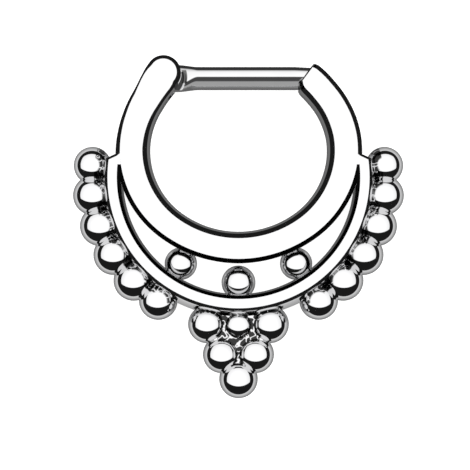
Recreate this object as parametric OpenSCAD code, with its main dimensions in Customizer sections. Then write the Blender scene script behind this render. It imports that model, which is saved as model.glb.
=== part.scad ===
// Septum ring with a hinged bar, lying on its back: the front faces up and the beads point to -Y.
// All sizes are in millimetres.

/* [Hoop] */
// Outside width of the hoop, side to side
hoop_w = 12.6; // [12.5:0.05:12.7]
// Width of the hoop's band at the sides, seen from the front
band_w = 1.71; // [1.67:0.01:1.75]
// Width of the hoop's band at the bottom
band_bottom_w = 1.6; // [1.56:0.01:1.7]
// Thickness of the whole casting, front to back
depth = 2.2; // [2.15:0.05:2.4]
// Radius of the band's middle line at the sides
side_r = 4.8; // [4.75:0.05:4.85]
// Half of the angle that the flatter bottom arc spans
bottom_half = 36; // [35:0.5:37]
// Angle above level at which the right arm is cut off
right_end = 54; // [53.5:0.25:54.5]
// Angle above level from which the left arm runs straight
left_bend = 31.4; // [31:0.1:32]
// Length of the left arm's straight part, up to the middle of the knuckle
left_straight = 1.71; // [1.65:0.01:1.75]
// Radius of the round of the band's inner edges
band_inner_round = 0.82; // [0.7:0.02:0.9]
// Radius of the round of the band's outer edges
band_outer_round = 0.54; // [0.45:0.02:0.6]

/* [Hinge] */
// Radius of the round knuckle that ends the left arm
knuckle_r = 0.89; // [0.87:0.01:0.92]
// Radius of the round of the knuckle's edges
knuckle_round = 0.44; // [0.3:0.02:0.5]
// Width of the saw cut in the knuckle
fork_w = 1.08; // [1.06:0.01:1.1]
// Radius of the hinge pin
pin_r = 0.3; // [0.25:0.01:0.32]
// How far the pin reaches into the front ear
pin_bite = 0.3; // [0.2:0.02:0.34]

/* [Bar] */
// Radius of the bar, 16 gauge
bar_r = 0.6; // [0.55:0.01:0.61]
// Height of the bar's middle line above the hoop's centre
bar_y = 3.73; // [3.71:0.01:3.75]
// Where the bar's free end stops, right of the hoop's centre
bar_tip = 4; // [3.9:0.02:4.04]
// Where the bar begins to taper towards its free end, right of the hoop's centre
bar_taper_from = 2.9; // [2.8:0.05:2.95]
// Radius of the tapered free end
tip_r = 0.55; // [0.5:0.01:0.57]
// Radius to which the bar flares beside the hinge
neck_r = 0.7; // [0.66:0.01:0.72]
// Radius of the eye around the pin
eye_r = 0.75; // [0.73:0.01:0.77]
// Thickness of the flat tongue inside the fork
tongue_t = 1; // [0.96:0.01:1.01]
// Radius from the pin at which the round bar ends and the tongue's flats begin
tongue_reach = 1.17; // [1.16:0.01:1.2]

/* [Crescent] */
// Distance of the crescent's centre below the hoop's centre
crescent_drop = 1.43; // [1.4:0.01:1.46]
// Radius of the crescent's inner wall
crescent_inner = 6.045; // [6.02:0.005:6.07]
// Radius of the crescent's outer wall
crescent_outer = 7.195; // [7.15:0.005:7.25]
// Radius of the round of the crescent's inner edges
crescent_inner_round = 0.46; // [0.4:0.02:0.5]
// Radius of the round of the crescent's outer edges
crescent_outer_round = 1.22; // [1:0.02:1.3]
// Slope of the cut that ends the crescent beside the hoop, in degrees
crescent_end_slope = 25; // [22:1:28]
// Height of that cut at the hoop's outer wall, from the hoop's centre
crescent_end_y = -0.216; // [-0.25:0.002:-0.18]

/* [Beads] */
// Radius of the circle that the side beads stand on, about the crescent's centre
bead_ring_r = 7.6; // [7.55:0.01:7.65]

/* [Hidden] */
$fn = 96;

// Beads beside the crescent, a row for each pair: degrees below level, radius
side_beads = [
    [-4.9, 0.97],
    [6.8, 1.04],
    [19.1, 1.04],
    [31.6, 1.05],
    [44.4, 1.05],
    [56.8, 1.0],
];
// Beads in pairs: sideways, below the hoop's centre, radius, direction of the ball's seam
paired_beads = [
    [1.63, 9.01, 0.985, -20],
    [0.875, 10.58, 0.97, -20],
    [2.99, 5.87, 0.84, 40],
];
// Beads on the middle line: below the hoop's centre, radius, direction of the ball's seam
middle_beads = [
    [9.05, 0.83, -90],
    [11.85, 1.0, -90],
    [6.85, 0.88, 90],
];
lowest_bead = middle_beads[1];
// Half the outline of the solder that closes the pockets between the beads of the triangle
bead_fill = [[0, -8.4], [1.5, -8.4], [1.63, -9.01], [0.875, -10.58], [0, -11.85]];
bead_fill_t = 1;

// The front and back are planed flat where an edge round has leaned over this far
plane_tilt = 37;
// Straight steps in each edge round
round_steps = 4;
// Angle between the sections that the hoop is lofted through
loft_step = 6;
// Shares of its edge rounds that the left arm keeps at its bend and at the knuckle
bend_share = 0.7;
knuckle_share = 0.5;

mid_z = depth / 2;
// Centres of the side arcs and of the bottom arc, which meet on one tangent
side_cx = (hoop_w - band_w) / 2 - side_r;
bottom_cy = side_cx / tan(bottom_half);
bottom_r = side_r + side_cx / sin(bottom_half);

bend_x = -side_cx - side_r * cos(left_bend);
bend_y = side_r * sin(left_bend);
knuckle_x = bend_x + left_straight * sin(left_bend);
knuckle_y = bend_y + left_straight * cos(left_bend);

// Running gaps
pin_run = 0.03;
pin_fit = 0.01;
fork_floor_gap = 0.05;
seat_gap = 0.04;
seat_floor_gap = 0.03;
tip_gap = 0.1;
pin_end_gap = 0.02;
pin_back_z = 0.04;
pin_front_z = mid_z + fork_w / 2 + pin_bite;

bar_length = bar_tip - knuckle_x;
tip_bevel = 0.1;
neck_length = tongue_reach - 0.3;
flare_length = 0.9;
flare_steps = 5;

// The hoop's centre above the origin, so that the origin is below the middle of the whole outline
hoop_y = (lowest_bead[0] + lowest_bead[1] - knuckle_y - knuckle_r) / 2;

// Web that fills the tip of each gap flush with the front and back
web = [[5.95, -0.1], [6.2, -0.3], [6.25, -0.5], [6.22, -0.88], [5.98, -0.88]];

// A point of an edge round: i steps down from the planed face, up is 1 in front and -1 behind,
// and a negative radius rounds a wall whose metal lies on its low side
function round_point(wall, r, i, up) =
    let (t = plane_tilt + (90 - plane_tilt) * i / round_steps)
    [wall + r * (1 - sin(t)), mid_z + up * (mid_z - abs(r) * (cos(plane_tilt) - cos(t)))];

function outer_side(wall, r) = concat(
    [for (i = [0 : round_steps]) round_point(wall, -r, i, 1)],
    [for (i = [round_steps : -1 : 0]) round_point(wall, -r, i, -1)]
);

function inner_side(wall, r) = concat(
    [for (i = [0 : round_steps]) round_point(wall, r, i, -1)],
    [for (i = [round_steps : -1 : 0]) round_point(wall, r, i, 1)]
);

module rail_section(inner, outer, inner_round, outer_round) {
    polygon(concat(outer_side(outer, outer_round), inner_side(inner, inner_round)));
}

// A row for each section of the hoop, from the right end to the knuckle:
// middle point, angle of the normal that points outwards, share of the edge rounds
function arc_rows(cx, cy, r, from, to) =
    let (n = ceil(abs(to - from) / loft_step))
    [for (i = [0 : n - 1]) let (a = from + (to - from) * i / n)
        [cx + r * cos(a), cy + r * sin(a), a, arm_share(a)]];

// The left arm's edges sharpen from level up to the bend
function arm_share(a) = a > -180 ? 1 : 1 - (1 - bend_share) * (-180 - a) / left_bend;

hoop_rows = let (turn = 90 - bottom_half) concat(
    arc_rows(side_cx, 0, side_r, right_end, -turn),
    arc_rows(0, bottom_cy, bottom_r, -turn, turn - 180),
    arc_rows(-side_cx, 0, side_r, turn - 180, -180),
    arc_rows(-side_cx, 0, side_r, -180, -180 - left_bend),
    [[bend_x, bend_y, -180 - left_bend, bend_share]],
    [[knuckle_x, knuckle_y, -180 - left_bend, knuckle_share]]
);

function section_points(row) =
    let (below = max(0, -sin(row[2])))
    let (half = (band_w - (band_w - band_bottom_w) * below * below) / 2)
    let (flat = concat(outer_side(half, band_outer_round * row[3]), inner_side(-half, band_inner_round * row[3])))
    [for (p = flat) [row[0] + p[0] * cos(row[2]), row[1] + p[0] * sin(row[2]), p[1]]];

module loft(rows) {
    n = 4 * (round_steps + 1);
    last = len(rows) - 1;
    points = [for (row = rows) each section_points(row)];
    walls = [for (k = [0 : last - 1], i = [0 : n - 1]) let (j = (i + 1) % n)
        each [[k * n + i, k * n + j, (k + 1) * n + j], [k * n + i, (k + 1) * n + j, (k + 1) * n + i]]];
    ends = [[for (i = [n - 1 : -1 : 0]) i], [for (i = [0 : n - 1]) last * n + i]];
    polyhedron(points, concat(walls, ends));
}

module knuckle() {
    translate([knuckle_x, knuckle_y, 0])
        rotate_extrude() polygon(concat([[0, depth]], outer_side(knuckle_r, knuckle_round), [[0, 0]]));
}

module hoop() {
    loft(hoop_rows);
    knuckle();
}

module crescent() {
    sweep_over = 13;
    trim_x = 5.6;
    trim_y = crescent_end_y + (hoop_w / 2 - trim_x) * tan(crescent_end_slope);
    difference() {
        translate([0, -crescent_drop, 0]) rotate([0, 0, 180 - sweep_over])
            rotate_extrude(angle = 180 + 2 * sweep_over)
                rail_section(crescent_inner, crescent_outer, crescent_inner_round, crescent_outer_round);
        for (side = [0, 1]) mirror([side, 0, 0])
            translate([trim_x, trim_y, -1]) rotate([0, 0, -crescent_end_slope]) cube([3, 2, depth + 2]);
    }
    for (side = [0, 1]) mirror([side, 0, 0]) linear_extrude(depth) polygon(web);
}

// A ball, turned so that its seam lies clear of the seams of its neighbours
module bead(x, y, r, seam) {
    translate([x, y, mid_z]) rotate([0, 0, seam]) sphere(r);
}

module beads() {
    for (side = [0, 1]) mirror([side, 0, 0]) {
        for (b = side_beads)
            bead(bead_ring_r * cos(b[0]), -crescent_drop - bead_ring_r * sin(b[0]), b[1], -b[0]);
        for (b = paired_beads) bead(b[0], -b[1], b[2], b[3]);
    }
    for (b = middle_beads) bead(0, -b[0], b[1], b[2]);
    left_half = [for (i = [len(bead_fill) - 2 : -1 : 1]) [-bead_fill[i][0], bead_fill[i][1]]];
    translate([0, 0, mid_z - bead_fill_t / 2])
        linear_extrude(bead_fill_t) polygon(concat(bead_fill, left_half));
}

// Saw cut across the knuckle, open at both sides and at the tip
module fork_cut() {
    floor_reach = eye_r + fork_floor_gap;
    past_knuckle = 2;
    translate([knuckle_x, bar_y, mid_z]) rotate([0, 0, 90 - left_bend])
        translate([-floor_reach, -past_knuckle, -fork_w / 2])
            cube([floor_reach + past_knuckle, 2 * past_knuckle, fork_w]);
}

// Notch behind the front wall of the right arm, into which the bar swings down
module seat_cut() {
    seat_w = 2 * (bar_r + seat_gap);
    seat_from = 2;
    seat_h = 3;
    translate([seat_from, bar_y - bar_r - seat_floor_gap, mid_z - seat_w / 2])
        cube([bar_tip + tip_gap - seat_from, seat_h, seat_w]);
}

// Blind hole for the pin, drilled from the back
module pin_hole() {
    start_z = -1;
    translate([knuckle_x, bar_y, start_z])
        cylinder(r = pin_r + pin_fit, h = pin_front_z + pin_end_gap - start_z);
}

module ring_frame() {
    color("gainsboro") translate([0, hoop_y, 0]) difference() {
        union() {
            hoop();
            crescent();
            beads();
        }
        fork_cut();
        seat_cut();
        pin_hole();
    }
}

// The bar's outline turned about its middle line, from the pin to the tip
module shaft() {
    flare = [for (i = [0 : flare_steps]) let (u = i / flare_steps)
        [bar_r + (neck_r - bar_r) * (1 - u) * (1 - u), neck_length + flare_length * u]];
    rotate([0, 90, 0]) rotate_extrude() polygon(concat(
        [[0, 0], [neck_r, 0]],
        flare,
        [[bar_r, bar_taper_from - knuckle_x]],
        [[tip_r, bar_length - tip_bevel], [tip_r - tip_bevel, bar_length], [0, bar_length]]
    ));
}

module clicker_bar() {
    color("silver") translate([knuckle_x, hoop_y + bar_y, mid_z]) difference() {
        union() {
            shaft();
            translate([0, 0, -tongue_t / 2]) cylinder(r = eye_r, h = tongue_t);
        }
        for (side = [0, 1]) mirror([0, 0, side])
            translate([0, 0, tongue_t / 2]) cylinder(r = tongue_reach, h = 1);
        translate([0, 0, -1]) cylinder(r = pin_r + pin_run, h = 2);
    }
}

module hinge_pin() {
    color("darkgray") translate([knuckle_x, hoop_y + bar_y, pin_back_z])
        cylinder(r = pin_r, h = pin_front_z - pin_back_z);
}

ring_frame();
clicker_bar();
hinge_pin();
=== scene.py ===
import math

import bmesh
import bpy
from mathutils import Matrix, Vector


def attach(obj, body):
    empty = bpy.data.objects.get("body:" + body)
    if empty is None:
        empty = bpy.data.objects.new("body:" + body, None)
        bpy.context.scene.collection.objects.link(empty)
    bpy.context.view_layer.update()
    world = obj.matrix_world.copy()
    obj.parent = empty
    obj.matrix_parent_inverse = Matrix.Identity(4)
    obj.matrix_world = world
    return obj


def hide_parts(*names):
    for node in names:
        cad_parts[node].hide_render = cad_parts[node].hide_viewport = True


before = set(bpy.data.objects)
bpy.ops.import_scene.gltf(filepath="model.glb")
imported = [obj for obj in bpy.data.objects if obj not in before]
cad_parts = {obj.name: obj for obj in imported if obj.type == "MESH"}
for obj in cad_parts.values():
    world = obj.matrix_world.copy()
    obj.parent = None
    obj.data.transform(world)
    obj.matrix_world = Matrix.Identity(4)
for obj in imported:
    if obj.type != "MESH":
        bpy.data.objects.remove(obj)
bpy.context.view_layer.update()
print("frame loaded")

mm = 0.001
castingDepth = 2.2 * mm
midHeight = castingDepth / 2
hoopY = 4.0 * mm          # the hoop's centre, above the middle of the outline
weld = 1e-7               # vertices closer than this become one
leastMove = 1e-9          # a smaller move is left out
leastGrowth = 1e-6        # and so is a smaller change of scale
smoothAngle = 18          # degrees between facets, past which an edge stays sharp


# Edit-mode helpers

def clearSelection():
    if bpy.context.object and bpy.context.object.mode == "EDIT":
        bpy.ops.object.mode_set(mode="OBJECT")
    bpy.ops.object.select_all(action="DESELECT")


def pickPiece(piece):
    # selects this piece alone
    clearSelection()
    piece.select_set(True)
    bpy.context.view_layer.objects.active = piece


def enterEdit(piece):
    pickPiece(piece)
    bpy.ops.object.mode_set(mode="EDIT")
    bpy.ops.mesh.select_mode(type="VERT")


def leaveEdit():
    bpy.ops.object.mode_set(mode="OBJECT")


def pickAll():
    bpy.ops.mesh.select_all(action="SELECT")


def pickVerts(test, ring=None):
    # selects the vertices whose place passes the test, of the whole mesh or of one ring
    mesh = bpy.context.edit_object.data
    bm = bmesh.from_edit_mesh(mesh)
    bm.verts.ensure_lookup_table()
    bpy.ops.mesh.select_all(action="DESELECT")
    for i in range(len(bm.verts)) if ring is None else ring:
        if test(bm.verts[i].co):
            bm.verts[i].select_set(True)
    bm.select_flush(True)
    bmesh.update_edit_mesh(mesh)


def pickedRing():
    # the numbers of the vertices that are selected now
    bm = bmesh.from_edit_mesh(bpy.context.edit_object.data)
    return [v.index for v in bm.verts if v.select]


def shift(x=0, y=0, z=0):
    bpy.ops.transform.translate(value=(x, y, z))


def turn(degrees, centre, axis="Z"):
    # with no window this operator turns the other way
    bpy.ops.transform.rotate(value=-math.radians(degrees), orient_axis=axis, center_override=centre)


def grow(factor, centre):
    bpy.ops.transform.resize(value=(factor, factor, factor), center_override=centre)


def scaleDepth(factor):
    # front and back draw in alike, towards the middle height
    bpy.ops.transform.resize(value=(1, 1, factor), center_override=(0, 0, midHeight))


def planeOff(place, direction):
    # cuts all away that lies past this plane, and closes the cut
    pickAll()
    bpy.ops.mesh.bisect(plane_co=place, plane_no=direction, clear_outer=True, use_fill=True, threshold=weld)


def newPiece(name):
    piece = bpy.context.object
    piece.name = name
    piece.data.name = name
    return piece


def settle(piece):
    # puts a piece's place into its mesh
    pickPiece(piece)
    bpy.ops.object.transform_apply(location=True, rotation=True, scale=True)


def tidyMesh(piece):
    enterEdit(piece)
    pickAll()
    bpy.ops.mesh.remove_doubles(threshold=weld)
    bpy.ops.mesh.normals_make_consistent(inside=False)
    leaveEdit()


def cut(piece, tool, operation="DIFFERENCE"):
    # joins or cuts with a solid, which is then gone
    pickPiece(piece)
    step = piece.modifiers.new("cut", "BOOLEAN")
    step.operation = operation
    step.solver = "EXACT"
    step.object = tool
    bpy.ops.object.modifier_apply(modifier=step.name)
    bpy.data.objects.remove(tool, do_unlink=True)


def joinPieces(pieces, name):
    # closed shells that overlap, as soldered parts do
    pickPiece(pieces[0])
    for piece in pieces:
        piece.select_set(True)
    bpy.ops.object.join()
    return newPiece(name)


def copyPiece(piece, place):
    pickPiece(piece)
    bpy.ops.object.duplicate(linked=False)
    twin = bpy.context.object
    twin.location = place
    return twin


def smoothOver(piece):
    pickPiece(piece)
    bpy.ops.object.shade_smooth_by_angle(angle=math.radians(smoothAngle))


def outward(angle):
    # the direction from a centre, in the ring's plane
    return Vector((math.cos(math.radians(angle)), math.sin(math.radians(angle)), 0))


def edgeRound(parts, steps=6):
    # an edge from the planed face to the wall: each part is tilt at its start, tilt at its end, width
    points = [(0.0, 0.0)]
    for start, end, width in parts:
        first, last = math.radians(start), math.radians(end)
        radius = width / (math.sin(last) - math.sin(first))
        across, down = points[-1]
        for i in range(1, steps + 1):
            tilt = first + (last - first) * i / steps
            points.append((across + radius * (math.sin(tilt) - math.sin(first)),
                           down + radius * (math.cos(first) - math.cos(tilt))))
    return points


def drawn(name, outline):
    # a flat shape, drawn point by point and left open in edit mode
    bpy.ops.mesh.primitive_plane_add(size=mm)
    piece = newPiece(name)
    enterEdit(piece)
    pickAll()
    bpy.ops.mesh.merge(type="CENTER")
    shift(*outline[0])
    for start, end in zip(outline, outline[1:]):
        step = [b - a for a, b in zip(start, end)]
        bpy.ops.mesh.extrude_vertices_move(TRANSFORM_OT_translate={"value": step})
    pickAll()
    bpy.ops.mesh.edge_face_add()
    return piece


def planedSection(width, inner, outer, name):
    # a planed rail's section in the XZ plane, its back at z=0: x runs from the inner to the outer wall
    corners = []
    for side, parts in ((1, outer), (-1, inner)):
        edge = edgeRound(parts)
        span = edge[-1][0]
        corners.append([(side * (width / 2 - span + across), castingDepth - down) for across, down in edge])
    front = corners[0]
    outline = front + [(x, castingDepth - z) for x, z in reversed(front)]
    back = [(x, castingDepth - z) for x, z in corners[1]]
    outline += back + [(x, castingDepth - z) for x, z in reversed(back)]
    return drawn(name, [(x, 0, z) for x, z in outline])


def turned(name, profile, place, steps=96):
    # a turned solid, standing along Z: profile holds height and radius
    x, y, z = place
    height, radius = profile[0]
    bpy.ops.mesh.primitive_circle_add(vertices=steps, radius=radius, fill_type="NGON",
                                      location=(x, y, z + height))
    piece = newPiece(name)
    settle(piece)
    enterEdit(piece)
    pickAll()
    for (z0, r0), (z1, r1) in zip(profile, profile[1:]):
        bpy.ops.mesh.extrude_region_move(TRANSFORM_OT_translate={"value": (0, 0, z1 - z0)})
        grow(r1 / r0, (x, y, z + z1))
    leaveEdit()
    tidyMesh(piece)
    return piece


def block(name, low, high, turnBy=0, about=(0, 0, 0)):
    bpy.ops.mesh.primitive_cube_add(size=1, location=[(a + b) / 2 for a, b in zip(low, high)])
    piece = newPiece(name)
    piece.scale = [b - a for a, b in zip(low, high)]
    settle(piece)
    if turnBy:
        enterEdit(piece)
        pickAll()
        turn(turnBy, about)
        leaveEdit()
    return piece


# Camera, first of all, at the photograph's distance and framing

camera = {
    "place": (-0.18 * mm, -0.385 * mm, 82.2 * mm), "lens": 119.7, "sensor": 36,
    "nearest": 5 * mm, "farthest": 20,
}


def placeCamera():
    bpy.ops.object.camera_add(location=camera["place"], rotation=(0, 0, 0))
    eye = bpy.context.object
    eye.name = "photoCamera"
    eye.data.sensor_width = camera["sensor"]
    eye.data.lens = camera["lens"]
    eye.data.clip_start = camera["nearest"]
    eye.data.clip_end = camera["farthest"]
    bpy.context.scene.camera = eye


placeCamera()
print("camera set")


# Hoop: one planed section, carried round by extrusion. Angles are in degrees, from the right upwards

hoop = {
    "sideRadius": 4.8 * mm, "sideOffset": 0.645 * mm, "bottomHalf": 36,
    "bandSides": 1.71 * mm, "bandBottom": 1.6 * mm,
    "rightEnd": 54, "leftBend": 31.4, "leftStraight": 1.71 * mm,
    # tilt at the start and end of each part of an edge, and its width
    "innerEdge": [(41, 43, 0.235 * mm), (79, 81, 0.105 * mm)],
    "outerEdge": [(40, 42, 0.24 * mm)],
    # the right arm's rounded end, in mm: distance from the cut, insets of inner wall, outer wall and front
    "endRound": [(0, 0.3, 0.11, 0.07), (0.07, 0.22, 0.05, 0), (0.16, 0.14, 0.02, 0), (0.26, 0.07, 0, 0),
                 (0.4, 0.02, 0, 0), (0.6, 0, 0, 0), (0.8, 0, 0, 0), (1.0, 0, 0, 0), (1.3, 0, 0, 0)],
    # how far the walls stand out from the plain band, in mm: angle, inner wall, outer wall
    "lean": [(-212, 0, -0.05), (-200, 0, -0.055), (-190, 0, -0.03), (-178, 0, 0.02), (-160, 0, 0.01),
             (-120, 0, 0.02), (-90, 0, 0.035), (-60, 0, 0.02), (-30, 0, 0.02), (-5, 0.01, 0.06),
             (8, 0, 0.04), (18, -0.035, 0), (27, -0.06, -0.05), (38, -0.1, -0.105), (54, -0.1, -0.11)],
    # what is left of the inner and outer edge at the end of the left bend
    "bendShare": (0.66, 0.6),
    # the straight left arm, in equal steps: how far inner and outer wall stand out, in mm, and what is left
    # of their edges
    "root": [(0, -0.035, 0.64, 0.5), (0.01, -0.015, 0.63, 0.44), (0.035, 0.01, 0.63, 0.42),
             (0.075, 0.03, 0.65, 0.45), (0.1, 0.045, 0.72, 0.6), (0.055, 0.034, 0.82, 0.82)],
    "stepAngle": 2.4,
}
sideX = hoop["sideOffset"]
bottomY = sideX / math.tan(math.radians(hoop["bottomHalf"]))


def hoopWidth(angle):
    below = max(0.0, -math.sin(math.radians(angle)))
    return hoop["bandSides"] - (hoop["bandSides"] - hoop["bandBottom"]) * below ** 2


def leanAt(angle):
    # inner and outer wall at this angle, between the two nearest rows
    for (a0, *before), (a1, *after) in zip(hoop["lean"], hoop["lean"][1:]):
        if angle <= a1:
            part = (angle - a0) / (a1 - a0)
            return [(p + (q - p) * part) * mm for p, q in zip(before, after)]
    return [value * mm for value in hoop["lean"][-1][1:]]


def edgeShare(angle):
    # what is left of the inner and outer edge: all of it, up to the left bend
    past = max(0.0, -180 - angle) / hoop["leftBend"]
    return [1 - (1 - share) * past for share in hoop["bendShare"]]


def reshapeRing(ring, middle, angle, wallChanges, depthScale, shareChanges, walls):
    # moves a ring's inner and outer wall, then shrinks its edges towards the corners
    out = outward(angle)
    for side, change, wall, shareChange in zip((-1, 1), wallChanges, walls, shareChanges):
        if abs(change) > leastMove:
            pickVerts(lambda p: (p - middle).dot(out) * side > 0, ring)
            shift(*(out * side * change))
        if abs(shareChange - 1) > leastGrowth:
            for up in (-1, 1):
                corner = middle + out * (side * wall)
                corner.z = midHeight + up * midHeight
                pickVerts(lambda p: (p - middle).dot(out) * side > 0 and (p.z - midHeight) * up > 0, ring)
                grow(shareChange, corner)
    pickVerts(lambda p: True, ring)
    if abs(depthScale - 1) > leastGrowth:
        scaleDepth(depthScale)


def hoopStations():
    # from the right arm's end round to the left bend: the arc's centre and radius, angle, insets of walls
    # and front
    lean = 90 - hoop["bottomHalf"]
    right, left = Vector((sideX, hoopY, 0)), Vector((-sideX, hoopY, 0))
    bottom = Vector((0, hoopY + bottomY, 0))
    sideRadius = hoop["sideRadius"]
    bottomRadius = sideRadius + sideX / math.sin(math.radians(hoop["bottomHalf"]))
    stations = []
    for along, inner, outer, front in hoop["endRound"]:
        angle = hoop["rightEnd"] - math.degrees(along * mm / sideRadius)
        stations.append((right, sideRadius, angle, (inner * mm, outer * mm), front * mm))
    arcs = [
        (right, sideRadius, angle, -lean),
        (bottom, bottomRadius, -lean, lean - 180),
        (left, sideRadius, lean - 180, -180 - hoop["leftBend"]),
    ]
    for centre, radius, start, end in arcs:
        steps = math.ceil(abs(end - start) / hoop["stepAngle"])
        for i in range(1, steps + 1):
            stations.append((centre, radius, start + (end - start) * i / steps, (0, 0), 0))
    return stations


def differences(before, after):
    return [b - a for a, b in zip(before, after)]


def ratios(before, after):
    return [b / a for a, b in zip(before, after)]


def makeHoop():
    piece = planedSection(hoop["bandSides"], hoop["innerEdge"], hoop["outerEdge"], "hoop")
    pickAll()
    shift(x=hoop["sideRadius"])
    turn(hoop["rightEnd"], (0, 0, 0))
    shift(x=sideX, y=hoopY)
    angle, shares, halfDepth = hoop["rightEnd"], [1.0, 1.0], midHeight
    walls = [hoopWidth(angle) / 2] * 2
    for centre, radius, nextAngle, insets, front in hoopStations():
        if nextAngle != angle:
            bpy.ops.mesh.extrude_region_move()
            turn(nextAngle - angle, centre)
            angle = nextAngle
        inner, outer = leanAt(angle)
        half = hoopWidth(angle) / 2
        nextWalls, nextShares = [half - inner - insets[0], half + outer - insets[1]], edgeShare(angle)
        reshapeRing(pickedRing(), centre + outward(angle) * radius, angle, differences(walls, nextWalls),
                    (midHeight - front) / halfDepth, ratios(shares, nextShares), nextWalls)
        walls, shares, halfDepth = nextWalls, nextShares, midHeight - front
    # the straight left arm
    out = outward(angle)
    step = Vector((out.y, -out.x, 0)) * (hoop["leftStraight"] / len(hoop["root"]))
    middle = Vector((-sideX, hoopY, 0)) + out * hoop["sideRadius"]
    for inner, outer, *nextShares in hoop["root"]:
        bpy.ops.mesh.extrude_region_move(TRANSFORM_OT_translate={"value": step})
        middle = middle + step
        nextWalls = [hoop["bandSides"] / 2 + inner * mm, hoop["bandSides"] / 2 + outer * mm]
        reshapeRing(pickedRing(), middle, angle, differences(walls, nextWalls), 1,
                    ratios(shares, nextShares), nextWalls)
        walls, shares = nextWalls, nextShares
    leaveEdit()
    tidyMesh(piece)
    return piece, middle


# Knuckle: the left arm's round end

knuckle = {"radius": 0.889 * mm, "edge": [(40, 43, 0.2 * mm)]}


def makeKnuckle(centre):
    edge = edgeRound(knuckle["edge"])
    span = edge[-1][0]
    upper = [(castingDepth - down, knuckle["radius"] - span + across) for across, down in edge]
    profile = [(castingDepth - z, r) for z, r in upper] + upper[::-1]
    return turned("knuckle", profile, centre)


# Crescent: a planed half-round bow, free of the hoop between its two ends

crescent = {
    "drop": 1.43 * mm, "inner": 6.045 * mm, "outer": 7.195 * mm, "steps": 96,
    "innerEdge": [(40, 43, 0.165 * mm), (70, 85, 0.024 * mm)],
    "outerEdge": [(39, 46, 0.18 * mm), (55, 66, 0.307 * mm)],
    "flushShare": 0.999,      # of the depth: keeps two flush faces from lying in one plane
    "overshoot": 13, "endSlope": 25, "endPlace": (6.3 * mm, -0.216 * mm), "endChamfer": 0.13 * mm,
    # the web in the tip of the gap: x from and to, y from and to, counted from the hoop's centre
    "webSpan": (5.95 * mm, 6.25 * mm, -0.88 * mm, -0.1 * mm),
    # which way its cuts face: the upper and the outer one in x and y, the two lower ones in y and z
    "webUpper": (0.2, 0.25), "webOuter": (0.2, 0.05), "webLower": (-0.66, 0.75),
    # where the outer cut passes, from the hoop's centre, and how far up the lower ones reach
    "webOuterY": -0.5 * mm, "webChamfer": 0.12 * mm,
}


def makeCrescent():
    width = crescent["outer"] - crescent["inner"]
    piece = planedSection(width, crescent["innerEdge"], crescent["outerEdge"], "crescent")
    centre = (0, hoopY - crescent["drop"], 0)
    pickAll()
    shift(x=crescent["inner"] + width / 2)
    turn(180 - crescent["overshoot"], (0, 0, 0))
    shift(y=centre[1])
    sweep = math.radians(180 + 2 * crescent["overshoot"])
    bpy.ops.mesh.spin(steps=crescent["steps"], angle=-sweep, center=centre, axis=(0, 0, 1))
    slope = math.radians(crescent["endSlope"])
    for side in (-1, 1):
        place = Vector((side * crescent["endPlace"][0], hoopY + crescent["endPlace"][1], 0))
        normal = Vector((side * math.sin(slope), math.cos(slope), 0))
        planeOff(place, normal)
        for up in (-1, 1):
            edge = place - normal * crescent["endChamfer"]
            edge.z = midHeight + up * midHeight
            planeOff(edge, normal + Vector((0, 0, up)))
    pickAll()
    scaleDepth(crescent["flushShare"])
    leaveEdit()
    tidyMesh(piece)
    return piece


def makeWeb(side):
    # fills the tip of the gap, flush with the front and back
    x0, x1, y0, y1 = crescent["webSpan"]
    low, high = sorted((side * x0, side * x1))
    inset = castingDepth * (1 - crescent["flushShare"])
    piece = block("web", (low, hoopY + y0, inset), (high, hoopY + y1, castingDepth - inset))
    enterEdit(piece)
    for x, y, (across, along) in ((x0, y1, crescent["webUpper"]),
                                  (x1, crescent["webOuterY"], crescent["webOuter"])):
        planeOff((side * x, hoopY + y, 0), (side * across, along, 0))
    along, outwards = crescent["webLower"]
    y = hoopY + y0 + crescent["webChamfer"]
    for up in (-1, 1):
        planeOff((0, y, midHeight + up * midHeight), (0, along, up * outwards))
    leaveEdit()
    return piece


# Beads: one ball, copied to each place. Sizes in the lists are in mm

beads = {
    "ringRadius": 7.6 * mm, "segments": 72,
    # beside the crescent: degrees below level, radius
    "side": [(-4.9, 0.97), (6.8, 1.034), (19.1, 1.04), (31.6, 1.05), (44.4, 1.05), (56.8, 1.0)],
    # in pairs: sideways, below the hoop's centre, radius
    "paired": [(1.63, 9.01, 0.985), (0.875, 10.58, 0.97), (2.99, 5.87, 0.84)],
    # on the middle line: below the hoop's centre, radius
    "middle": [(9.05, 0.83), (11.85, 1.0), (6.85, 0.88)],
    # how each ball lies, so that no two show the same facets
    "tilt": (0.3, 0.2), "tiltStep": 0.1, "spinStep": 0.37,
    # half the outline of the solder in the triangle, from the hoop's centre
    "fill": [(0, -8.4), (1.5, -8.4), (1.63, -9.01), (0.875, -10.58), (0, -11.85)], "fillDepth": 1 * mm,
}


def makeBall():
    segments = beads["segments"]
    bpy.ops.mesh.primitive_uv_sphere_add(segments=segments, ring_count=segments // 2, radius=mm)
    ball = newPiece("ball")
    settle(ball)
    return ball


def beadPlaces():
    places = []
    for side in (-1, 1):
        for below, radius in beads["side"]:
            angle = math.radians(below)
            places.append((side * beads["ringRadius"] * math.cos(angle),
                           hoopY - crescent["drop"] - beads["ringRadius"] * math.sin(angle), radius))
        for across, below, radius in beads["paired"]:
            places.append((side * across * mm, hoopY - below * mm, radius))
    for below, radius in beads["middle"]:
        places.append((0, hoopY - below * mm, radius))
    return places


def makeBeads():
    ball = makeBall()
    copies = []
    firstTilt, lean = beads["tilt"]
    for i, (x, y, radius) in enumerate(beadPlaces()):
        bead = copyPiece(ball, (x, y, midHeight))
        bead.scale = (radius, radius, radius)
        bead.rotation_euler = (firstTilt + beads["tiltStep"] * i, lean, beads["spinStep"] * i)
        settle(bead)
        copies.append(bead)
    bpy.data.objects.remove(ball, do_unlink=True)
    return copies


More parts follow.
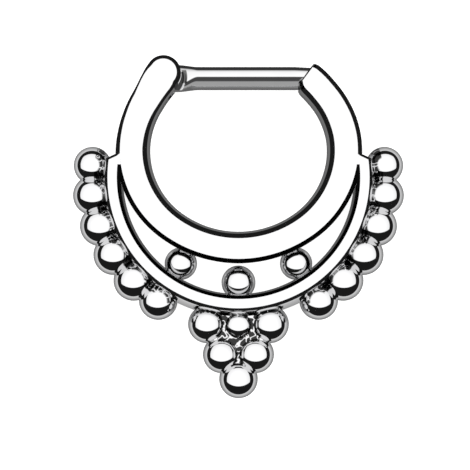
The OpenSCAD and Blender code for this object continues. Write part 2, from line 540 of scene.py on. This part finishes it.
def makeFill():
    # solder that closes the pockets between the beads of the triangle
    outline = [(x * mm, y * mm) for x, y in beads["fill"]]
    outline += [(-x, y) for x, y in outline[-2:0:-1]]
    piece = drawn("fill", [(x, hoopY + y, midHeight - beads["fillDepth"] / 2) for x, y in outline])
    bpy.ops.mesh.extrude_region_move(TRANSFORM_OT_translate={"value": (0, 0, beads["fillDepth"])})
    leaveEdit()
    tidyMesh(piece)
    return piece


# Bar: turned, flared beside the hinge, with a flat eye in the fork

bar = {
    "radius": 0.6 * mm, "aboveHoop": 3.73 * mm, "steps": 128,
    # its free end: where it ends, where its taper starts, and its slightly rounded rim
    "tip": 4 * mm, "taperFrom": 2.9 * mm, "tipRadius": 0.55 * mm, "tipBevel": 0.1 * mm, "tipRim": 0.03 * mm,
    # the thick neck beside the hinge, and how it thins down to the bar
    "neck": 0.7 * mm, "neckRadius": 0.7 * mm, "neckSteps": 8, "flare": 1.1 * mm, "flareSteps": 20,
    # the flat tongue with its eye
    "tongue": 1 * mm, "eyeRadius": 0.75 * mm, "boreRadius": 0.33 * mm,
    # the step at the tongue: how far past its flat, and the radius there
    "step": [(0, 1.04 * mm), (0.03 * mm, 1.13 * mm), (0.19 * mm, 1.2 * mm), (0.5 * mm, 1.34 * mm)],
    "roundSteps": 192,
    # the neck's front sags towards the hoop: where, how far, its reach, and how much is taken hold of
    "sagAt": 0.85 * mm, "sag": 0.34 * mm, "sagReach": 0.85 * mm, "sagHold": 0.12 * mm,
}
fork = {"width": 1.08 * mm, "floor": 0.8 * mm, "past": 2 * mm}
seat = {"gap": 0.04 * mm, "floorGap": 0.03 * mm, "from": 2 * mm, "tipGap": 0.1 * mm, "height": 3 * mm}
pinHole = {"radius": 0.31 * mm, "top": 1.96 * mm, "steps": 64}


def barProfile(length, taperFrom):
    steps, thicker = bar["neckSteps"], bar["neckRadius"] - bar["radius"]
    profile = [(bar["neck"] * i / steps, bar["neckRadius"]) for i in range(steps + 1)]
    for i in range(1, bar["flareSteps"] + 1):
        part = i / bar["flareSteps"]
        profile.append((bar["neck"] + bar["flare"] * part,
                        bar["radius"] + thicker * (1 - part) ** 2 * (1 + 2 * part)))
    return profile + [
        (taperFrom, bar["radius"]),
        (length - bar["tipBevel"], bar["tipRadius"]),
        (length - bar["tipRim"], bar["tipRadius"] - bar["tipRim"]),
        (length, bar["tipRadius"] - bar["tipBevel"]),
    ]


def makeBar(hinge):
    profile = barProfile(bar["tip"] - hinge.x, bar["taperFrom"] - hinge.x)
    piece = turned("clickerBar", profile, (0, 0, 0), bar["steps"])
    enterEdit(piece)
    pickAll()
    turn(90, (0, 0, 0), "Y")
    shift(*hinge)
    sag = hinge + Vector((bar["sagAt"], 0, bar["neckRadius"]))
    pickVerts(lambda p: (p - sag).length < bar["sagHold"])
    bpy.ops.transform.translate(value=(0, -bar["sag"], 0), use_proportional_edit=True,
                                proportional_edit_falloff="SMOOTH", proportional_size=bar["sagReach"])
    leaveEdit()
    half = bar["tongue"] / 2
    cut(piece, turned("eye", [(z, bar["eyeRadius"]) for z in (-half, half)], hinge, bar["steps"]), "UNION")
    front = [(half + past, radius) for past, radius in bar["step"]]
    back = [(-height, radius) for height, radius in reversed(front)]
    for flat in (front, back):
        cut(piece, turned("flat", flat, hinge, bar["roundSteps"]))
    cut(piece, turned("bore", [(z, bar["boreRadius"]) for z in (-mm, mm)], hinge, pinHole["steps"]))
    return piece


def cutCasting(body, hinge):
    # saw cut in the knuckle, notch for the bar's free end, blind hole for the pin
    past, halfFork = fork["past"], fork["width"] / 2
    cut(body, block("forkCut", (hinge.x - fork["floor"], hinge.y - past, midHeight - halfFork),
                    (hinge.x + past, hinge.y + past, midHeight + halfFork), 90 - hoop["leftBend"], hinge))
    halfSeat = bar["radius"] + seat["gap"]
    seatFloor = hinge.y - bar["radius"] - seat["floorGap"]
    cut(body, block("seatCut", (seat["from"], seatFloor, midHeight - halfSeat),
                    (bar["tip"] + seat["tipGap"], seatFloor + seat["height"], midHeight + halfSeat)))
    cut(body, turned("pinHole", [(z, pinHole["radius"]) for z in (-mm, pinHole["top"])],
                     (hinge.x, hinge.y, 0), pinHole["steps"]))


body, knuckleAt = makeHoop()
cut(body, makeKnuckle(knuckleAt), "UNION")
hinge = Vector((knuckleAt.x, hoopY + bar["aboveHoop"], midHeight))
cutCasting(body, hinge)
print("hoop made, with its fork, notch and pin hole", len(body.data.vertices))
parts = [body, makeCrescent(), makeWeb(-1), makeWeb(1), makeFill()] + makeBeads()
casting = joinPieces(parts, "ringCasting")
print("crescent and beads soldered on", len(casting.data.vertices))
clickerBar = makeBar(hinge)
print("bar made", len(clickerBar.data.vertices))
for piece in (casting, clickerBar):
    smoothOver(piece)


# Shader maths

class Wire:
    # a node's output, on which sums are written as plain expressions
    def __init__(self, sheet, socket):
        self.sheet, self.socket = sheet, socket

    def calc(self, operation, other=0.0, swapped=False):
        pair = (other, self) if swapped else (self, other)
        return self.sheet.add("ShaderNodeMath", {"operation": operation}, dict(enumerate(pair)))

    def __add__(self, other):
        return self.calc("ADD", other)

    def __radd__(self, other):
        return self.calc("ADD", other, True)

    def __sub__(self, other):
        return self.calc("SUBTRACT", other)

    def __rsub__(self, other):
        return self.calc("SUBTRACT", other, True)

    def __mul__(self, other):
        return self.calc("MULTIPLY", other)

    def __rmul__(self, other):
        return self.calc("MULTIPLY", other, True)

    def __abs__(self):
        return self.calc("ABSOLUTE")


class Sheet:
    # one material's or world's nodes
    def __init__(self, tree):
        self.tree = tree
        tree.nodes.clear()

    def add(self, kind, settings=None, sockets=None, output=0):
        node = self.tree.nodes.new(kind)
        for name, value in (settings or {}).items():
            if name == "stops":
                ramp = node.color_ramp
                while len(ramp.elements) < len(value):
                    ramp.elements.new(0.5)
                for stop, (place, colour) in zip(ramp.elements, value):
                    stop.position = place
                    stop.color = colour
            else:
                setattr(node, name, value)
        for name, value in (sockets or {}).items():
            if isinstance(value, Wire):
                self.tree.links.new(value.socket, node.inputs[name])
            else:
                node.inputs[name].default_value = value
        return Wire(self, node.outputs[output]) if len(node.outputs) else node


def newMaterial(name):
    material = bpy.data.materials.new(name)
    material.use_nodes = True
    return material, Sheet(material.node_tree)


def split(vector):
    node = vector.sheet.add("ShaderNodeSeparateXYZ", None, {0: vector}).socket.node
    return [Wire(vector.sheet, node.outputs[i]) for i in range(3)]


def distance(x, y):
    return (x * x + y * y).calc("SQRT")


def larger(one, other):
    return one.calc("MAXIMUM", other)


def ranged(value, low, high, atLow, atHigh, kind="LINEAR"):
    # carries a value from low..high over to atLow..atHigh
    return value.sheet.add("ShaderNodeMapRange", {"interpolation_type": kind},
                           {0: value, 1: low, 2: high, 3: atLow, 4: atHigh})


def over(value, soft):
    # 0 below 0, 1 above, with a soft step
    return ranged(value, -soft, soft, 0.0, 1.0, "SMOOTHSTEP")


def within(value, low, high, soft):
    # 1 between low and high, 0 outside, with a soft step
    return over(value - low, soft) * over(high - value, soft)


def noise(place, scale, detail, roughness):
    return place.sheet.add("ShaderNodeTexNoise", {"noise_dimensions": "3D"},
                           {"Vector": place, "Scale": scale, "Detail": detail, "Roughness": roughness})


def mixed(share, first, second):
    return share.sheet.add("ShaderNodeMix", {"data_type": "RGBA"},
                           {0: share, 6: first, 7: second}, output=2)


# Finishes: bright steel, with painted shade: dark colour standing in for shade and dark reflections on the
# casting's gap edges, lines round the small beads, corners, bead feet and pockets, and on the bar's step.
# FromHoop and fromCrescent are distances from the two centres, below is counted down from the hoop's
# centre, height up from the back

# where the casting gets painted shade, its colour made dark in place of shade and dark reflections
paintedShade = {
    "soft": 0.03 * mm, "sharp": 0.002 * mm,
    # the edges of the gap, beside the planed face
    "gapHeight": (2.0 * mm, 2.197 * mm), "gapBelow": 0.8 * mm,
    "gapFromHoop": 5.5 * mm, "gapFromCrescent": 6.24 * mm,
    # a thin line round each small bead in the gap
    "lineHeight": (1.69 * mm, 1.775 * mm), "lineSoft": 0.015 * mm, "lineBelow": 4 * mm,
    "lineFromHoop": 5.83 * mm, "lineFromCrescent": 6.0 * mm,
    # the corners of the right arm's end: x, y and reach
    "corners": [(3.2 * mm, 7.42 * mm, 0.34 * mm), (3.8 * mm, 8.36 * mm, 0.2 * mm)],
    "cornerSoft": 0.005 * mm, "cornerTop": 2.194 * mm,
    # the foot of the beads along the crescent's outer wall
    "footFromCrescent": (6.97 * mm, 7.42 * mm), "footTop": 1.97 * mm, "footBelow": -0.3 * mm,
    # it is narrower over the triangle, and none where the wall is bare beside that
    "narrowBelow": 8.2 * mm, "narrowFromCrescent": 7.12 * mm,
    "bareSide": (2.3 * mm, 3.55 * mm), "bareBelow": 7.2 * mm,
    # the pockets of the triangle, whose sides draw in by half of each step down
    "pocketTop": 1.75 * mm, "pocketBelow": 8.5 * mm,
    "pocketSide": 1.5 * mm, "pocketSideAt": 8.9 * mm, "pocketSlope": 0.5,
    # breaks in the painted shade through the foot and the pockets, where the bare steel shows: scale,
    # detail and roughness of their noise
    "marks": (2500.0, 1.0, 0.5), "markLevel": 0.5, "markWidth": 0.03, "markSoft": 0.02,
}
# the step at the tongue, where the bar gets painted shade, counted from the hinge: distance, and from below
# it to above it
collar = {"fromHinge": (0.98 * mm, 1.215 * mm), "height": (-0.28 * mm, 0.4 * mm), "soft": 0.02 * mm}


def paintedShadeOf(place):
    # 1 where the casting gets painted shade: dark colour standing in for shade and dark reflections
    x, y, z = split(place)
    side, below = abs(x), hoopY - y
    fromHoop, fromCrescent = distance(x, below), distance(x, below - crescent["drop"])
    soft, sharp = paintedShade["soft"], paintedShade["sharp"]
    gap = (within(z, *paintedShade["gapHeight"], sharp) * over(fromHoop - paintedShade["gapFromHoop"], soft)
           * over(paintedShade["gapFromCrescent"] - fromCrescent, sharp) * over(below - paintedShade["gapBelow"], soft))
    line = (within(z, *paintedShade["lineHeight"], paintedShade["lineSoft"])
            * over(paintedShade["lineFromCrescent"] - fromCrescent, soft)
            * over(fromHoop - paintedShade["lineFromHoop"], soft) * over(below - paintedShade["lineBelow"], soft))
    corners = sum(over(reach - distance(x - cornerX, y - cornerY), paintedShade["cornerSoft"])
                  for cornerX, cornerY, reach in paintedShade["corners"]) * over(paintedShade["cornerTop"] - z, sharp)
    foot = (within(fromCrescent, *paintedShade["footFromCrescent"], soft) * over(paintedShade["footTop"] - z, soft)
            * over(below - paintedShade["footBelow"], soft))
    foot *= 1.0 - (over(below - paintedShade["narrowBelow"], soft)
                   * over(fromCrescent - paintedShade["narrowFromCrescent"], soft))
    foot *= 1.0 - within(side, *paintedShade["bareSide"], soft) * over(below - paintedShade["bareBelow"], soft)
    halfPocket = paintedShade["pocketSide"] - (below - paintedShade["pocketSideAt"]) * paintedShade["pocketSlope"]
    pockets = (over(paintedShade["pocketTop"] - z, soft) * over(below - paintedShade["pocketBelow"], soft)
               * over(halfPocket - side, soft))
    betweenMarks = over(abs(noise(place, *paintedShade["marks"]) - paintedShade["markLevel"]) - paintedShade["markWidth"],
                        paintedShade["markSoft"])
    return larger(larger(larger(gap, line), corners), larger(foot, pockets) * betweenMarks)


def collarShadeOf(place):
    # 1 on the step at the tongue, where the bar gets painted shade: dark colour standing in for the shade
    # and dark reflection there
    x, y = (wire - middle for wire, middle in zip(split(place), hinge.xy))
    soft = collar["soft"]
    return within(distance(x, y), *collar["fromHinge"], soft) * within(y, *collar["height"], 2 * soft)


def steel(name, look):
    material, sheet = newMaterial(name)
    place = sheet.add("ShaderNodeTexCoord", output=3)
    smudge, grain = noise(place, *look["smudge"]), noise(place, *look["grain"])
    tint = mixed(smudge, look["dark"], look["light"])
    # painted shade: where the mask is 1, the steel's colour turns dark, standing in for shade and dark
    # reflections
    if "paintShade" in look:
        tint = mixed(look["paintShade"](place), tint, look["paintShadeTint"])
    bump = sheet.add("ShaderNodeBump", None,
                     {"Strength": look["bump"], "Distance": look["bumpDepth"], "Height": grain})
    shader = sheet.add("ShaderNodeBsdfPrincipled", None,
                       {"Base Color": tint, "Metallic": 1.0, "Normal": bump,
                        "Roughness": look["rough"] + look["roughChange"] * smudge})
    sheet.add("ShaderNodeOutputMaterial", None, {"Surface": shader})
    return material


# smudge and grain are the scale, detail and roughness of their noise
polish = {
    "dark": (0.60, 0.60, 0.605, 1), "light": (0.68, 0.68, 0.685, 1),
    "rough": 0.02, "roughChange": 0.04, "smudge": (900.0, 3.0, 0.55),
    "grain": (9000.0, 2.0, 0.5), "bump": 0.05, "bumpDepth": 0.002 * mm,
}
# the casting's colour carries painted shade on its gap edges, corners, bead feet and pockets
castSteel = steel("castSteel", dict(polish, paintShade=paintedShadeOf, paintShadeTint=(0.03, 0.03, 0.03, 1)))
# the bar's colour carries painted shade on the step at the tongue
polishedSteel = steel("polishedSteel", dict(polish, paintShade=collarShadeOf, paintShadeTint=(0.12, 0.12, 0.12, 1)))
filedSteel = steel("filedSteel", dict(polish, rough=0.22, roughChange=0.12, grain=(20000.0, 2.0, 0.5),
                                      bump=0.4, bumpDepth=0.01 * mm))


def dress(piece, material):
    piece.data.materials.clear()
    piece.data.materials.append(material)


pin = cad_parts["hinge_pin"]
dress(casting, castSteel)
dress(clickerBar, polishedSteel)
dress(pin, filedSteel)
print("materials made")


# Stage: pale floor, white backdrop, and two soft skies with dark walls, for the casting and for the bar

studio = {
    "paper": 0.55, "paperGlow": 0.85, "paperRoughness": 0.9, "floorSize": 4, "floorDrop": 0.01 * mm,
    "backdrop": 1.0, "skySegments": 64,
}
white = (1, 1, 1, 1)
castingSky = {
    "radius": 1.5,
    # the lamp overhead: its brightness at the edge and in the middle, and the heights of these
    "lampEdge": 1.3, "lampMiddle": 1.6, "fade": (0.25, 0.75),
    # how far it spreads from straight up, in degrees: towards the ring's sides and top, and its bottom
    "wideEdge": 73, "nearEdge": 40, "wideBlur": 0.05, "nearBlur": 0.03,
    # light from below: where it starts, in degrees above level, its brightness there and straight down
    "horizon": -12, "lowLevel": 1.0, "nadirLevel": 0.09,
    "wallLevel": 0.016,
}
barSky = {
    "radius": 1.7,
    # angle from straight up towards +Y, and the brightness there
    "stops": [(-180, 0.15), (-134, 0.17), (-110, 0.26), (-92, 0.28), (-84, 0.37), (-76, 0.52), (-37, 0.5),
              (-27, 0.08), (9, 0.07), (17, 1.6), (60, 1.45), (72, 1.2), (82, 0.8), (88, 0.04), (176, 0.03),
              (180, 0.15)],
    "brightest": 2.0,         # a ramp's colours end at 1, so they are shares of this
    # past this share of the way to either side, the sky is even
    "sideEdge": 0.93, "sideBlur": 0.05, "sideLevel": 0.12,
    "least": 0.01,            # added everywhere
}


def castingLevel(x, y, z):
    wide, near = (math.tan(math.radians(castingSky[edge])) for edge in ("wideEdge", "nearEdge"))
    horizon = math.sin(math.radians(castingSky["horizon"]))
    wideBlur, nearBlur = castingSky["wideBlur"], castingSky["nearBlur"]
    lamp = over(z * wide - abs(x), wideBlur) * over(z * wide - y, wideBlur) * over(y + z * near, nearBlur)
    lampLevel = ranged(z, *castingSky["fade"], castingSky["lampEdge"], castingSky["lampMiddle"])
    lowLevel = ranged(z, horizon, -1.0, castingSky["lowLevel"], castingSky["nadirLevel"])
    return lamp * lampLevel + over(horizon - z, nearBlur) * lowLevel + castingSky["wallLevel"]


def barLevel(x, y, z):
    top = barSky["brightest"]
    around = y.calc("ARCTAN2", z) * (1 / (2 * math.pi)) + 0.5
    stops = [((angle + 180) / 360, (level / top,) * 3 + (1,)) for angle, level in barSky["stops"]]
    ramp = x.sheet.add("ShaderNodeValToRGB", {"stops": stops}, {0: around})
    middle = over(barSky["sideEdge"] - abs(x), barSky["sideBlur"])
    return ramp * middle * top + (1.0 - middle) * barSky["sideLevel"] + barSky["least"]


def makeSky(name, radius, levelOf, receivers):
    segments = studio["skySegments"]
    bpy.ops.mesh.primitive_uv_sphere_add(segments=segments, ring_count=segments // 2, radius=radius)
    sky = newPiece(name)
    paint, sheet = newMaterial(name)
    paint.cycles.emission_sampling = "NONE"
    place = sheet.add("ShaderNodeTexCoord", output=3)
    way = sheet.add("ShaderNodeVectorMath", {"operation": "NORMALIZE"}, {0: place})
    glow = sheet.add("ShaderNodeEmission", None, {"Color": white, "Strength": levelOf(*split(way))})
    clear = sheet.add("ShaderNodeBsdfTransparent")
    both = sheet.add("ShaderNodeAddShader", None, {0: glow, 1: clear})
    sheet.add("ShaderNodeOutputMaterial", None, {"Surface": both})
    dress(sky, paint)
    sky.visible_camera = False
    sky.visible_shadow = False
    lit = bpy.data.collections.new(name)
    for piece in receivers:
        lit.objects.link(piece)
    sky.light_linking.receiver_collection = lit


def makeFloor():
    bpy.ops.mesh.primitive_plane_add(size=studio["floorSize"], location=(0, 0, -studio["floorDrop"]))
    floor = newPiece("floor")
    settle(floor)
    paper, sheet = newMaterial("palePaper")
    tint = (studio["paper"],) * 3 + (1,)
    shade = sheet.add("ShaderNodeBsdfPrincipled", None,
                      {"Base Color": tint, "Roughness": studio["paperRoughness"],
                       "Emission Color": white, "Emission Strength": studio["paperGlow"]})
    sheet.add("ShaderNodeOutputMaterial", None, {"Surface": shade})
    dress(floor, paper)
    floor.visible_glossy = False
    return floor


def makeBackdrop():
    # white to the camera alone: the skies give the steel its light
    world = bpy.data.worlds.new("studio")
    world.use_nodes = True
    bpy.context.scene.world = world
    sheet = Sheet(world.node_tree)
    seen = sheet.add("ShaderNodeLightPath", output=0)
    shade = sheet.add("ShaderNodeBackground", None, {"Color": white, "Strength": seen * studio["backdrop"]})
    sheet.add("ShaderNodeOutputWorld", None, {"Surface": shade})


floor = makeFloor()
makeSky("castingSky", castingSky["radius"], castingLevel, [casting, pin, floor])
makeSky("barSky", barSky["radius"], barLevel, [clickerBar])
makeBackdrop()
view = bpy.context.scene.view_settings
view.view_transform = "Standard"
view.look = "None"
view.exposure = 0
view.gamma = 1
print("stage set")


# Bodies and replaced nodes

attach(casting, "frame")
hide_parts("ring_frame")
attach(clickerBar, "bar")
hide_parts("clicker_bar")
